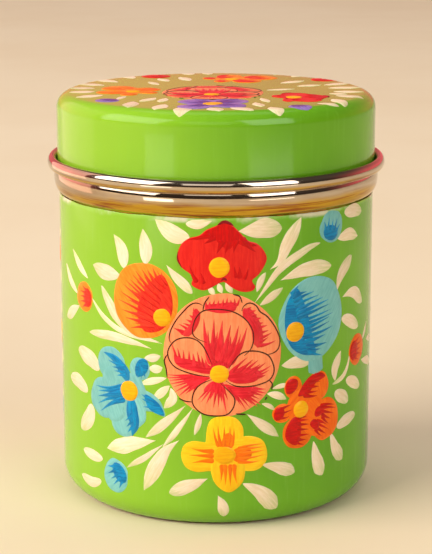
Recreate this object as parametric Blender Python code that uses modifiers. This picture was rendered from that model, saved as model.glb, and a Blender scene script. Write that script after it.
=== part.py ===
"""A round steel storage canister with a cap lid that drops inside its rim.

The body is one drawn sheet: a base with a raised panel, a straight wall, a swelled bead, a
groove and a rolled rim. The lid is a drawn cap whose skirt stands on the inside of the
bead. Both are enamelled outside, and each coat of enamel is a thin solid of its own,
because it has its own material. Every piece is turned about +Z. The origin is the middle
of the base, on the surface that the canister stands on.
"""

from math import cos, hypot, radians, sin

import bmesh
import bpy

MM = 0.001  # the sizes below are in millimetres, and Blender's units are metres
SEGMENTS = 64  # facets round each turned piece
WELD = 0.00001  # closes the seam and the poles, in metres

# Driving dimensions.
BODY_RADIUS = 50.0  # outside the enamel
HEIGHT = 128.3  # with the lid on
SHEET = 0.5
COAT = 0.25
COAT_GAP = 0.05  # keeps the enamel and the steel apart as two closed solids

# Base.
BASE_CORNER = 8.0  # outside the steel
PANEL_LIFT = 1.2  # the middle of the base stands clear of the table
PANEL_RADIUS = 34.0
FOOT_INNER_RADIUS = 36.0
COAT_START_ANGLE = -62.0  # the enamel stops on the corner, above the foot

# Bead, groove and rim. Rises and drops are those of the middle of the sheet.
ENAMEL_TOP = 97.1
BEAD_START = 97.3
BEAD_START_ANGLE = -70.0
BEAD_RADIUS = 51.55  # outside, where the bead is widest
BEAD_MIDDLE = 102.3
BEAD_DROP = 4.7
BEAD_RISE = 2.6
BEAD_ROUNDING = 0.85  # how far inside its widest part the upper half of the bead is centred
BEAD_END_ANGLE = 54.0
GROOVE_RADIUS = 51.2  # outside
RIM_RADIUS = 53.55  # outside
RIM_MIDDLE = 106.5
RIM_RISE = 1.9
RIM_DROP = 1.6
CURL_END_ANGLE = -105.0  # leaves the roll open, clear of the groove

# Lid.
LID_RADIUS = 50.4  # outside the enamel
LID_CORNER = 4.6  # outside the enamel
LID_SEAT = 98.5  # the skirt's lower edge, just above the inside of the bead
LID_ENAMEL_BOTTOM = 106.0  # hidden inside the rim

# Distances that follow from them. "Middle" is the middle of the thickness of a sheet or coat.
STEEL_INSET = COAT + COAT_GAP
SHEET_MIDDLE_INSET = STEEL_INSET + SHEET / 2
COAT_MIDDLE_INSET = COAT / 2
WALL_MIDDLE = BODY_RADIUS - SHEET_MIDDLE_INSET
BEAD_SHEET = BEAD_RADIUS - SHEET / 2
GROOVE_SHEET = GROOVE_RADIUS - SHEET / 2
LID_HEIGHT = HEIGHT - LID_SEAT


def arc(centre, radii, start, end, steps):
    """Points along an elliptical arc in the (radius, height) plane, from start to end degrees."""
    angles = [radians(start + (end - start) * step / steps) for step in range(steps + 1)]
    return [(centre[0] + radii[0] * cos(a), centre[1] + radii[1] * sin(a)) for a in angles]


def left_normals(path):
    """The unit normal on the left of each stretch of a path."""
    normals = []
    for (r0, z0), (r1, z1) in zip(path, path[1:]):
        length = hypot(r1 - r0, z1 - z0)
        normals.append(((z0 - z1) / length, (r1 - r0) / length))
    return normals


def offset(path, distance):
    """The path moved to its left by distance, with mitred corners."""
    normals = left_normals(path)
    before = [normals[0], *normals]
    after = [*normals, normals[-1]]
    moved = []
    for (r, z), (r0, z0), (r1, z1) in zip(path, before, after):
        mitre = distance / (1 + r0 * r1 + z0 * z1)
        moved.append((r + mitre * (r0 + r1), z + mitre * (z0 + z1)))
    return moved


def section(middle, thickness):
    """Outline of a sheet from its middle line, which runs outward from the axis, then up.

    The outline goes up the inner side and comes down the outer side.
    """
    inner = offset(middle, thickness / 2)
    outer = offset(middle, -thickness / 2)
    return inner + outer[::-1]


def body_section():
    """The body's sheet, from the middle of the base to the end of the rolled rim."""
    corner_middle = BASE_CORNER - SHEET / 2
    corner_centre = (BODY_RADIUS - STEEL_INSET - BASE_CORNER, BASE_CORNER)
    roll_centre_radius = (GROOVE_SHEET + RIM_RADIUS - SHEET / 2) / 2
    roll_half_width = roll_centre_radius - GROOVE_SHEET
    middle = [(0.0, PANEL_LIFT + SHEET / 2), (PANEL_RADIUS, PANEL_LIFT + SHEET / 2)]
    middle += [(FOOT_INNER_RADIUS, SHEET / 2)]
    middle += arc(corner_centre, (corner_middle, corner_middle), -90, 0, 6)
    middle += [(WALL_MIDDLE, BEAD_START)]
    lower = ((WALL_MIDDLE, BEAD_MIDDLE), (BEAD_SHEET - WALL_MIDDLE, BEAD_DROP))
    upper = ((BEAD_SHEET - BEAD_ROUNDING, BEAD_MIDDLE), (BEAD_ROUNDING, BEAD_RISE))
    middle += arc(*lower, BEAD_START_ANGLE, 0, 4)
    middle += arc(*upper, 0, BEAD_END_ANGLE, 3)[1:]
    roll_centre = (roll_centre_radius, RIM_MIDDLE)
    middle += arc(roll_centre, (roll_half_width, RIM_RISE), 180, 0, 6)
    middle += arc(roll_centre, (roll_half_width, RIM_DROP), 0, CURL_END_ANGLE, 4)[1:]
    return section(middle, SHEET)


def body_coat_section():
    """The enamel on the outside of the body, from the base corner to the foot of the bead."""
    corner_centre = (BODY_RADIUS - STEEL_INSET - BASE_CORNER, BASE_CORNER)
    corner_middle = BASE_CORNER + STEEL_INSET - COAT_MIDDLE_INSET
    middle = arc(corner_centre, (corner_middle, corner_middle), COAT_START_ANGLE, 0, 5)
    middle += [(BODY_RADIUS - COAT_MIDDLE_INSET, ENAMEL_TOP)]
    return section(middle, COAT)


def cap_section(skin_inset, thickness, skirt_bottom):
    """A cap with a flat top: its middle lies skin_inset inside the lid's outer surface.

    Heights are above the lower edge of the lid's skirt. The outline runs down the outer side.
    """
    corner_centre = (LID_RADIUS - LID_CORNER, LID_HEIGHT - LID_CORNER)
    corner_middle = LID_CORNER - skin_inset
    middle = [(0.0, LID_HEIGHT - skin_inset)]
    middle += arc(corner_centre, (corner_middle, corner_middle), 90, 0, 6)
    middle += [(LID_RADIUS - skin_inset, skirt_bottom)]
    outer = offset(middle, thickness / 2)
    inner = offset(middle, -thickness / 2)
    return outer + inner[::-1]


def material(name, colour, metallic, roughness):
    made = bpy.data.materials.new(name)
    made.use_nodes = True
    shader = made.node_tree.nodes["Principled BSDF"]
    shader.inputs["Base Color"].default_value = (*colour, 1.0)
    shader.inputs["Metallic"].default_value = metallic
    shader.inputs["Roughness"].default_value = roughness
    return made


def turned(name, outline, finish, collection, parent=None):
    """One solid of revolution from its half section. A section off the axis is a closed ring."""
    mesh = bpy.data.meshes.new(name)
    form = bmesh.new()
    points = [form.verts.new((radius * MM, 0.0, height * MM)) for radius, height in outline]
    for start, end in zip(points, points[1:]):
        form.edges.new((start, end))
    if outline[0][0] > 0:
        form.edges.new((points[-1], points[0]))
    form.to_mesh(mesh)
    form.free()
    mesh.materials.append(finish)
    piece = bpy.data.objects.new(name, mesh)
    piece.parent = parent
    collection.objects.link(piece)
    screw = piece.modifiers.new("Turn", "SCREW")
    screw.axis = "Z"
    screw.steps = SEGMENTS
    screw.render_steps = SEGMENTS
    screw.use_merge_vertices = True
    screw.merge_threshold = WELD
    screw.use_smooth_shade = True
    return piece


def build():
    for old in list(bpy.data.objects):
        bpy.data.objects.remove(old, do_unlink=True)
    collection = bpy.data.collections.new("lidded_canister")
    bpy.context.scene.collection.children.link(collection)
    steel = material("polished_steel", (0.72, 0.69, 0.64), 1.0, 0.18)
    lid_steel = material("lid_steel", (0.72, 0.70, 0.66), 1.0, 0.3)
    green = material("green_enamel", (0.24, 0.52, 0.05), 0.0, 0.22)
    lid_green = material("lid_enamel_green", (0.25, 0.54, 0.06), 0.0, 0.22)

    turned("canister_body", body_section(), steel, collection)
    turned("body_enamel", body_coat_section(), green, collection)

    # The lid lifts straight up. Its pieces stand on an empty on that axis, at the seat.
    seat = bpy.data.objects.new("lid_seat", None)
    seat.location = (0.0, 0.0, LID_SEAT * MM)
    collection.objects.link(seat)
    shell = cap_section(SHEET_MIDDLE_INSET, SHEET, 0.0)
    coat = cap_section(COAT_MIDDLE_INSET, COAT, LID_ENAMEL_BOTTOM - LID_SEAT)
    turned("lid_shell", shell, lid_steel, collection, parent=seat)
    turned("lid_enamel", coat, lid_green, collection, parent=seat)


build()
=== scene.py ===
"""The looks of the painted steel canister.

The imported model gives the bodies, the sizes and the motion. This script adds finely turned
steel and enamel in place of the CAD solids, and every petal, leaf and brush mark as a thin
raised solid that follows the surface under it.

Lengths are in millimetres, and MM turns them into Blender's metres. Lights are in metres.
A place on the wall is (s, z): s round the wall from the middle of the front, to the right,
and z up. Below the straight wall z runs on round the corner of the base. A place on the lid
is (x, y), measured along its surface from the middle of the top, so a leaf can run over the
edge. Colours are (red, green, blue) as a screen shows them, from 0 to 255.
"""

import random
from math import atan2, ceil, cos, hypot, pi, radians, sin, tau

import bmesh
import bpy
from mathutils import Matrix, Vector, noise


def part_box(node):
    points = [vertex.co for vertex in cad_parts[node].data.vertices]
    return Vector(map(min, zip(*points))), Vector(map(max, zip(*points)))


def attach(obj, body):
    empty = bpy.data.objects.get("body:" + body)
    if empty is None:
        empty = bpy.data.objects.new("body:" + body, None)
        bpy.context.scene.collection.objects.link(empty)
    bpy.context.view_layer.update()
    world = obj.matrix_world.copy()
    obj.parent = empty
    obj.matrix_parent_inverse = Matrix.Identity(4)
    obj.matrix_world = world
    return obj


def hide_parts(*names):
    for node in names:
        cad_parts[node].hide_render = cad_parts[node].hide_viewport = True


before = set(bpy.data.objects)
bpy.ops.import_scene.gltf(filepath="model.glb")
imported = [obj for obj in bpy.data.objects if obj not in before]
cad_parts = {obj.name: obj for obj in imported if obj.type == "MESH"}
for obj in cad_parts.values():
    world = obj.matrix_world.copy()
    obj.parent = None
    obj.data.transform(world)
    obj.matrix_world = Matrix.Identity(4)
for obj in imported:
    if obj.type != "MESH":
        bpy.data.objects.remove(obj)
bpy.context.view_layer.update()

draw = random.Random(7)

MM = 0.001


# ---------------------------------------------------------------- sizes

def upper_corner(node):
    """The highest corner of a CAD node, in millimetres."""
    return [round(value / MM, 2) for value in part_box(node)[1]]


BODY_RADIUS, _, ENAMEL_TOP = upper_corner("body_enamel")
RIM_RADIUS, _, RIM_TOP = upper_corner("canister_body")
LID_RADIUS, _, HEIGHT = upper_corner("lid_enamel")
LID_SEAT = round(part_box("lid_shell")[0].z / MM, 2)

# Sizes of the CAD solids that their boxes don't give.
SHEET = 0.5  # the steel
COAT = 0.25  # the enamel
STEEL_INSET = 0.3  # the steel's outside, in from the enamel's

BASE_CORNER = 8.3  # outside the enamel
BASE_CENTRE = BODY_RADIUS - BASE_CORNER
BASE_CORNER_TOP = 8.0
PANEL_LIFT = 1.2
PANEL_RADIUS = 34.0
FOOT_INNER_RADIUS = 36.0
COAT_START_ANGLE = -62.0  # degrees, as all the angles here

BEAD_START = 97.3
BEAD_START_ANGLE = -70.0
BEAD_END_ANGLE = 54.0
CURL_END_ANGLE = -105.0
BEAD_RADIUS = 51.55
BEAD_MIDDLE = 102.3
BEAD_DROP = 4.7
BEAD_RISE = 2.6
BEAD_ROUNDING = 0.85
GROOVE_RADIUS = 51.2
RIM_RISE = 1.9
RIM_DROP = 1.6
ROLL_MIDDLE = RIM_TOP - RIM_RISE - SHEET / 2

LID_CORNER = 4.6
LID_FLAT = LID_RADIUS - LID_CORNER
LID_ENAMEL_BOTTOM = 106.0

# Heights of the points along the straight walls, and how many steps go across the lid.
SHEET_STATIONS = (20.0, 40.0, 60.0, 80.0, 92.0, BEAD_START)
COAT_STATIONS = range(12, 97, 4)
LID_STATIONS = (109.0, 113.0, 117.0, 121.0)
LID_STEPS = 11

TURN_STEPS = 320  # facets round each turned piece
BEND_STEPS = 4  # in a softened corner
PANEL_EDGE_CUT = 0.8  # how far from a corner its softening starts
BEAD_FOOT_CUT = 0.5
SHELL_CREASE = 50  # degrees
WELD = 0.001  # closes the seam and the poles


# ---------------------------------------------------------------- camera

CAMERA_BACK = 576.3
CAMERA_HEIGHT = 202.0
CAMERA_PITCH = 0.229  # radians below the horizon
LENS = 118.7  # for a 36 mm long side


def add_camera():
    lens = bpy.data.cameras.new("Camera")
    lens.sensor_fit = "AUTO"
    lens.sensor_width = 36.0
    lens.lens = LENS
    lens.clip_start = 0.05
    lens.clip_end = 40.0
    camera = bpy.data.objects.new("Camera", lens)
    camera.location = (0.0, -CAMERA_BACK * MM, CAMERA_HEIGHT * MM)
    camera.rotation_euler = (pi / 2 - CAMERA_PITCH, 0.0, 0.0)
    bpy.context.scene.collection.objects.link(camera)
    bpy.context.scene.camera = camera


add_camera()


# ---------------------------------------------------------------- node helpers

def srgb(colour):
    """The linear values that shaders use for a screen colour."""
    linear = []
    for value in colour:
        share = value / 255
        linear.append(share / 12.92 if share <= 0.04045 else ((share + 0.055) / 1.055) ** 2.4)
    return (*linear, 1.0)


class Nodes:
    """The nodes of a material or a world, with short calls for the kinds that this script uses."""

    def __init__(self, owner):
        owner.use_nodes = True
        self.owner = owner
        self.tree = owner.node_tree
        self.shader = self.tree.nodes.get("Principled BSDF") or self.tree.nodes["Background"]

    def add(self, kind, **settings):
        node = self.tree.nodes.new("ShaderNode" + kind)
        for key, value in settings.items():
            setattr(node, key, value)
        return node

    def feed(self, socket, value):
        """Links a socket to an output, or sets it to a constant."""
        if isinstance(value, bpy.types.NodeSocket):
            self.tree.links.new(value, socket)
        else:
            socket.default_value = value

    def shade(self, **values):
        """Feeds the shader. An underscore stands for a space in the name of a socket."""
        for name, value in values.items():
            self.feed(self.shader.inputs[name.replace("_", " ")], value)

    def math(self, operation, first, second=0.0, clamp=False):
        node = self.add("Math", operation=operation, use_clamp=clamp)
        self.feed(node.inputs[0], first)
        self.feed(node.inputs[1], second)
        return node.outputs[0]

    def times(self, first, second):
        return self.math("MULTIPLY", first, second)

    def noise(self, vector, scale, detail=3.0, roughness=0.55, distortion=0.0):
        node = self.add("TexNoise")
        values = {"Vector": vector, "Scale": scale, "Detail": detail, "Roughness": roughness,
                  "Distortion": distortion}
        for name, value in values.items():
            self.feed(node.inputs[name], value)
        return node.outputs["Fac"]

    def ramp(self, value, low, high, bottom=0.0, top=1.0):
        """Maps low..high smoothly to bottom..top."""
        node = self.add("MapRange", interpolation_type="SMOOTHSTEP")
        for socket, fed in zip(node.inputs, (value, low, high, bottom, top)):
            self.feed(socket, fed)
        return node.outputs["Result"]

    def band(self, rising, falling, heights, top=1.0):
        """Rises between the first two heights, and fades away from top between the other two."""
        low, full, fading, gone = (height * MM for height in heights)
        return self.times(self.ramp(rising, low, full), self.ramp(falling, fading, gone, top, 0.0))

    def mix(self, factor, first, second):
        """Mixes two colours. The colour sockets of this node are its seventh and eighth."""
        node = self.add("Mix", data_type="RGBA")
        self.feed(node.inputs[0], factor)
        for socket, colour in zip(node.inputs[6:8], (first, second)):
            self.feed(socket, srgb(colour) if isinstance(colour, tuple) else colour)
        return node.outputs[2]

    def combine(self, x, y, z):
        node = self.add("CombineXYZ")
        for socket, value in zip(node.inputs, (x, y, z)):
            self.feed(socket, value)
        return node.outputs[0]

    def split(self, vector):
        """The three parts of a vector."""
        parts = self.add("SeparateXYZ")
        self.feed(parts.inputs[0], vector)
        return parts.outputs

    def bump(self, heights):
        """Chains bumps from (height, strength, distance in mm) and feeds the shader."""
        normal = None
        for height, strength, distance in heights:
            node = self.add("Bump")
            self.feed(node.inputs["Strength"], strength)
            self.feed(node.inputs["Distance"], distance * MM)
            self.feed(node.inputs["Height"], height)
            if normal:
                self.feed(node.inputs["Normal"], normal)
            normal = node.outputs["Normal"]
        self.shade(Normal=normal)

    def place(self):
        """Object coordinates: the vector, x, z, the radius and the angle about the axis, in metres."""
        vector = self.add("TexCoord").outputs["Object"]
        x, y, z = self.split(vector)
        radius = self.math("SQRT", self.math("ADD", self.times(x, x), self.times(y, y)))
        return vector, x, z, radius, self.math("ARCTAN2", y, x)


# ---------------------------------------------------------------- materials

# Heights where the painted golden reflection on the steel begins, is full, starts to fade and ends: on the
# lower half of the bead, and under the roll, where it also paints the shade of the groove.
BEAD_PAINTED_REFLECTION = (95.0, 96.0, 101.6, 104.0)
ROLL_PAINTED_REFLECTION = (104.3, 104.9, 105.5, 106.2)
ROLL_PAINTED_REFLECTION_COVER = 0.85
INSIDE_ROUGHNESS = 0.22  # how much rougher the steel is inside than outside


def steel(name, colour, tarnish, roughness, ring_depth, painted_reflection=None):
    """Spun steel: fine rings round the axis, smudges and scuffs, and satin inside.

    A painted reflection is (gold, brown): a golden reflection painted on the outside, on the lower half of
    the bead and under the roll, where it also stands for the shade of the groove.
    """
    nodes = Nodes(bpy.data.materials.new(name))
    vector, _, z, radius, angle = nodes.place()
    across = nodes.math("ADD", radius, z)
    turn = nodes.times(angle, 0.004)
    rings = nodes.noise(nodes.combine(across, nodes.math("SUBTRACT", radius, z), turn), 2600.0, 4.0, 0.7)
    broad = nodes.noise(nodes.combine(across, z, turn), 420.0, 2.0)
    smudge = nodes.noise(vector, 38.0, 4.0, 0.6, 0.4)
    scuff = nodes.noise(vector, 900.0, 5.0, 0.75, 1.5)
    worn = nodes.ramp(smudge, 0.42, 0.68)
    tone = nodes.mix(nodes.ramp(broad, 0.3, 0.75, 0.0, 0.55), colour, tarnish)
    tone = nodes.mix(nodes.times(worn, 0.35), tone, tarnish)

    # The steel is seen from outside where its normal points away from the axis.
    level = nodes.add("VectorMath", operation="MULTIPLY")
    nodes.feed(level.inputs[0], vector)
    nodes.feed(level.inputs[1], (1.0, 1.0, 0.0))
    facing = nodes.add("VectorMath", operation="DOT_PRODUCT")
    nodes.feed(facing.inputs[0], level.outputs[0])
    nodes.feed(facing.inputs[1], nodes.add("TexCoord").outputs["Normal"])
    outside = nodes.math("GREATER_THAN", facing.outputs["Value"], 0.0)
    # Painted reflection: gold and brown on the lower half of the bead, and painted shade as well in the
    # groove under the roll.
    if painted_reflection:
        gold, brown = painted_reflection
        ragged = nodes.math("ADD", z, nodes.times(smudge, 4 * MM))
        on_bead = nodes.band(z, ragged, BEAD_PAINTED_REFLECTION)
        under_roll = nodes.band(z, z, ROLL_PAINTED_REFLECTION, ROLL_PAINTED_REFLECTION_COVER)
        bands = nodes.noise(nodes.combine(turn, nodes.times(z, 1.6), 0.0), 560.0, 3.0, 0.6, 0.6)
        cover = nodes.times(nodes.math("MAXIMUM", on_bead, under_roll), outside)
        tone = nodes.mix(cover, tone, nodes.mix(nodes.ramp(bands, 0.44, 0.64), gold, brown))
    rough = nodes.math("ADD", nodes.ramp(rings, 0.25, 0.8, roughness * 0.75, roughness * 1.35),
                       nodes.times(worn, 0.05))
    rough = nodes.math("ADD", rough, nodes.ramp(scuff, 0.62, 0.8, 0.0, 0.08))
    inside = nodes.math("SUBTRACT", 1.0, outside)
    rough = nodes.math("ADD", rough, nodes.times(inside, INSIDE_ROUGHNESS))
    nodes.shade(Base_Color=tone, Metallic=1.0, Roughness=rough)
    nodes.bump([(rings, 0.25, ring_depth), (scuff, 0.12, 0.01)])
    return nodes.owner


GREEN = (118, 186, 36)
GREEN_DEEP = (102, 172, 28)
GREEN_PALE = (136, 202, 62)
GREEN_THIN = (152, 206, 84)
# The green below is painted light: a lighter, yellower green on the side that the key light falls on.
GREEN_PAINTED_LIGHT = (148, 200, 52)
# Whitish: enamel worn almost through, and a painted glint of the steel there.
WORN_EDGE_AND_GLINT = (226, 222, 204)
# Painted light on the enamel: x where it is full, and x where it is gone.
PAINTED_LIGHT_FULL_AT = -42.0  # x where the enamel is at its yellowest
PAINTED_LIGHT_GONE_AT = 20.0
THIN_FROM = 95.6  # where the body's coat begins to thin, up to its brushed upper edge


def enamel(name, pale, thin_from=None):
    """Glossy hand-laid enamel: faint upright streaks, slow changes of depth and a pebbled skin.

    The coat is painted a lighter, yellower green towards -X, as painted light where the key light falls.
    Above the height thin_from it is brushed out thin, and paler, with patches that are almost worn through,
    whose whitish is also a painted glint of the steel.
    """
    nodes = Nodes(bpy.data.materials.new(name))
    vector, x, z, radius, angle = nodes.place()
    round_wall = nodes.times(angle, BODY_RADIUS * MM)
    streaks = nodes.noise(nodes.combine(round_wall, nodes.times(z, 0.06), radius), 700.0, 4.0, 0.6)
    clouds = nodes.noise(vector, 24.0, 3.0, 0.5)
    skin = nodes.noise(vector, 520.0, 2.0, 0.5)
    specks = nodes.noise(vector, 2400.0, 2.0, 0.5)
    tone = nodes.mix(nodes.ramp(clouds, 0.3, 0.7), GREEN, GREEN_DEEP)
    # Painted light: a lighter, yellower green towards -X, where the key light falls.
    yellow = nodes.ramp(x, PAINTED_LIGHT_FULL_AT * MM, PAINTED_LIGHT_GONE_AT * MM, 0.85, 0.0)
    tone = nodes.mix(yellow, tone, GREEN_PAINTED_LIGHT)
    tone = nodes.mix(nodes.ramp(streaks, 0.5, 0.85, 0.0, 0.3), tone, pale)
    tone = nodes.mix(nodes.ramp(specks, 0.68, 0.8, 0.0, 0.3), tone, GREEN_DEEP)
    if thin_from:
        ragged = nodes.math("ADD", z, nodes.times(nodes.noise(vector, 160.0, 3.0), 2 * MM))
        thin = nodes.ramp(ragged, (thin_from + 1) * MM, (thin_from + 2.4) * MM, 0.0, 0.8)
        tone = nodes.mix(thin, tone, pale)
        # Whitish patches: enamel worn almost through, and painted glints of the steel under it.
        patches = nodes.ramp(nodes.noise(vector, 70.0, 4.0, 0.6), 0.47, 0.62, 0.0, 0.85)
        edge = nodes.ramp(ragged, (thin_from + 0.4) * MM, (thin_from + 2) * MM)
        tone = nodes.mix(nodes.times(patches, edge), tone, WORN_EDGE_AND_GLINT)
    rough = nodes.math("ADD", nodes.ramp(clouds, 0.25, 0.75, 0.08, 0.14),
                       nodes.ramp(streaks, 0.4, 0.9, 0.0, 0.06))
    nodes.shade(Base_Color=tone, Roughness=rough, Specular_IOR_Level=0.32)
    nodes.bump([(skin, 0.06, 0.05), (streaks, 0.08, 0.03)])
    return nodes.owner


def paint(name, colour, deep, under=None, fade=0.0):
    """Brushed enamel paint. Streaks follow the stroke, and a thin end lets the colour under it through."""
    nodes = Nodes(bpy.data.materials.new(name))
    place = nodes.add("Attribute", attribute_name="brush_place").outputs["Vector"]
    state = nodes.add("Attribute", attribute_name="brush_state").outputs["Vector"]
    stretch = nodes.add("Mapping")
    nodes.feed(stretch.inputs["Vector"], place)
    nodes.feed(stretch.inputs["Scale"], (1.3, 0.14, 1.0))
    streaks = nodes.noise(stretch.outputs[0], 1.0, 5.0, 0.7, 0.3)
    pools = nodes.noise(place, 0.35, 3.0, 0.5)
    along, shade, rim = nodes.split(state)
    tone = nodes.mix(nodes.ramp(streaks, 0.4, 0.62, 0.0, 0.85), colour, deep)
    tone = nodes.mix(nodes.ramp(pools, 0.35, 0.75, 0.0, 0.45), tone, deep)
    if under:
        thin = nodes.times(nodes.ramp(along, 0.45, 1.0, 0.0, fade), nodes.ramp(streaks, 0.3, 0.6))
        thin = nodes.math("ADD", thin, nodes.times(rim, 0.12), clamp=True)
        tone = nodes.mix(thin, tone, under)
    value = nodes.add("HueSaturation")
    nodes.feed(value.inputs["Value"], nodes.ramp(shade, 0.0, 1.0, 0.92, 1.06))
    nodes.feed(value.inputs["Color"], tone)
    rough = nodes.ramp(streaks, 0.3, 0.7, 0.26, 0.42)
    nodes.shade(Base_Color=value.outputs[0], Roughness=rough, Specular_IOR_Level=0.22)
    nodes.bump([(streaks, 0.5, 0.05), (pools, 0.3, 0.08)])
    return nodes.owner


FINISHES = {
    # The spun steel carries a painted golden reflection, with painted shade under the roll.
    "steel": steel("spun_steel", (206, 194, 178), (160, 134, 104), 0.06, 0.004,
                   painted_reflection=((200, 162, 56), (152, 92, 48))),
    "lid_steel": steel("satin_steel", (218, 212, 202), (190, 178, 158), 0.24, 0.012),
    "enamel": enamel("green_body_enamel", GREEN_THIN, THIN_FROM),
    "lid_enamel": enamel("green_lid_enamel", GREEN_PALE),
}

# A paint's colour and its deeper colour. Some have the colour under them too, and how far it shows.
PAINTS = {
    "cream": ((254, 238, 214), (240, 220, 182), GREEN_PALE, 0.35),
    "salmon": ((255, 160, 108), (248, 136, 88)),
    "crimson": ((242, 46, 62), (212, 12, 34), (252, 124, 96), 0.2),
    "outline": ((70, 32, 14), (44, 18, 8)),
    "yolk": ((255, 194, 12), (246, 170, 4)),
    "maroon": ((150, 6, 22), (110, 2, 14)),
    "scarlet": ((240, 44, 32), (226, 22, 20)),
    "wine": ((216, 0, 2), (186, 0, 4)),
    "orange": ((255, 158, 48), (250, 132, 22)),
    "vermilion": ((246, 58, 40), (216, 28, 18), (255, 140, 50), 0.3),
    "tangerine": ((255, 126, 10), (244, 98, 2)),
    "cherry": ((224, 12, 8), (182, 2, 6), (246, 92, 10), 0.25),
    "sky": ((134, 204, 204), (112, 188, 190)),
    "azure": ((0, 152, 210), (0, 104, 170), (80, 176, 206), 0.2),
    "lemon": ((255, 214, 34), (252, 194, 10)),
    "amber": ((255, 132, 4), (250, 108, 0), (255, 190, 20), 0.4),
    "lilac": ((158, 132, 206), (130, 102, 184)),
    "violet": ((100, 72, 158), (74, 48, 130), (148, 120, 200), 0.35),
}
for name, colours in PAINTS.items():
    FINISHES[name] = paint(f"{name}_paint", *colours)


def place_mesh(form, name, material):
    """Puts a bmesh in the scene as an object."""
    mesh = bpy.data.meshes.new(name)
    form.to_mesh(mesh)
    form.free()
    mesh.materials.append(material)
    thing = bpy.data.objects.new(name, mesh)
    bpy.context.scene.collection.objects.link(thing)
    return thing


def add_piece(form, name, finish, crease):
    """Adds a closed piece that is shaded smooth, but sharp where it bends by more than crease degrees."""
    bmesh.ops.recalc_face_normals(form, faces=form.faces)
    for face in form.faces:
        face.smooth = True
    piece = place_mesh(form, name, FINISHES[finish])
    piece.data.set_sharp_from_angle(angle=radians(crease))
    return piece


# ---------------------------------------------------------------- turned pieces

def arc(centre, radii, start, end, steps):
    """Points along an elliptical arc in the (radius, height) plane, from start to end degrees."""
    angles = [radians(start + (end - start) * step / steps) for step in range(steps + 1)]
    return [(centre[0] + radii[0] * cos(a), centre[1] + radii[1] * sin(a)) for a in angles]


def soften(path, index, cut):
    """The path with one corner rounded: cut is how far from it the rounding starts."""
    corner = Vector(path[index])
    ends = []
    for other in (path[index - 1], path[index + 1]):
        away = Vector(other) - corner
        ends.append(corner + away.normalized() * min(cut, away.length / 2))
    bend = []
    for step in range(BEND_STEPS + 1):
        share = step / BEND_STEPS
        point = ends[0] * (1 - share) ** 2 + corner * (2 * share * (1 - share)) + ends[1] * share**2
        bend.append(tuple(point))
    return path[:index] + bend + path[index + 1:]


def offset(path, distance):
    """The path moved to its left by distance, with mitred corners."""
    normals = []
    for (r0, z0), (r1, z1) in zip(path, path[1:]):
        length = hypot(r1 - r0, z1 - z0)
        normals.append(((z0 - z1) / length, (r1 - r0) / length))
    moved = []
    for (r, z), (r0, z0), (r1, z1) in zip(path, [normals[0], *normals], [*normals, normals[-1]]):
        mitre = distance / (1 + r0 * r1 + z0 * z1)
        moved.append((r + mitre * (r0 + r1), z + mitre * (z0 + z1)))
    return moved


def body_middle():
    """Middle line of the body's sheet, from the middle of the base to the end of the rolled rim."""
    wall = BODY_RADIUS - STEEL_INSET - SHEET / 2
    bead = BEAD_RADIUS - SHEET / 2
    groove = GROOVE_RADIUS - SHEET / 2
    corner = BASE_CORNER - STEEL_INSET - SHEET / 2
    roll = (groove + RIM_RADIUS - SHEET / 2) / 2
    middle = [(radius, PANEL_LIFT + SHEET / 2) for radius in (0.0, 15.0, PANEL_RADIUS)]
    middle += [(FOOT_INNER_RADIUS, SHEET / 2)]
    middle += arc((BASE_CENTRE, BASE_CORNER_TOP), (corner, corner), -90, 0, 18)
    panel_edge = middle.index((PANEL_RADIUS, PANEL_LIFT + SHEET / 2))
    middle = soften(middle, panel_edge, PANEL_EDGE_CUT)
    middle += [(wall, z) for z in SHEET_STATIONS]
    bead_foot = len(middle) - 1
    middle += arc((wall, BEAD_MIDDLE), (bead - wall, BEAD_DROP), BEAD_START_ANGLE, 0, 16)
    upper = arc((bead - BEAD_ROUNDING, BEAD_MIDDLE), (BEAD_ROUNDING, BEAD_RISE), 0, BEAD_END_ANGLE, 12)
    middle += upper[1:]
    middle += arc((roll, ROLL_MIDDLE), (roll - groove, RIM_RISE), 180, 0, 32)
    middle += arc((roll, ROLL_MIDDLE), (roll - groove, RIM_DROP), 0, CURL_END_ANGLE, 18)[1:]
    return soften(middle, bead_foot, BEAD_FOOT_CUT)


def body_section():
    """Outline of the body's sheet. The end of the roll is rounded by one more point on its middle."""
    middle = body_middle()
    end = Vector(middle[-1])
    tip = end + (end - Vector(middle[-2])).normalized() * SHEET * 0.3
    return offset(middle, SHEET / 2) + [tuple(tip)] + offset(middle, -SHEET / 2)[::-1]


def body_coat_section():
    """The body's enamel: up the outer side from the base corner, and down the inner side."""
    radius = BASE_CORNER - COAT
    outer = arc((BASE_CENTRE, BASE_CORNER_TOP), (BASE_CORNER, BASE_CORNER), COAT_START_ANGLE, 0, 18)
    outer += [(BODY_RADIUS, z) for z in COAT_STATIONS]
    outer += [(BODY_RADIUS, ENAMEL_TOP - 0.3), (BODY_RADIUS - 0.04, ENAMEL_TOP - 0.1)]
    inner = [(BODY_RADIUS - COAT * 0.6, ENAMEL_TOP), (BODY_RADIUS - COAT, ENAMEL_TOP - 0.1)]
    inner += [(BODY_RADIUS - COAT, z) for z in reversed(COAT_STATIONS)]
    inner += arc((BASE_CENTRE, BASE_CORNER_TOP), (radius, radius), 0, COAT_START_ANGLE, 18)
    return outer + inner


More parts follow.
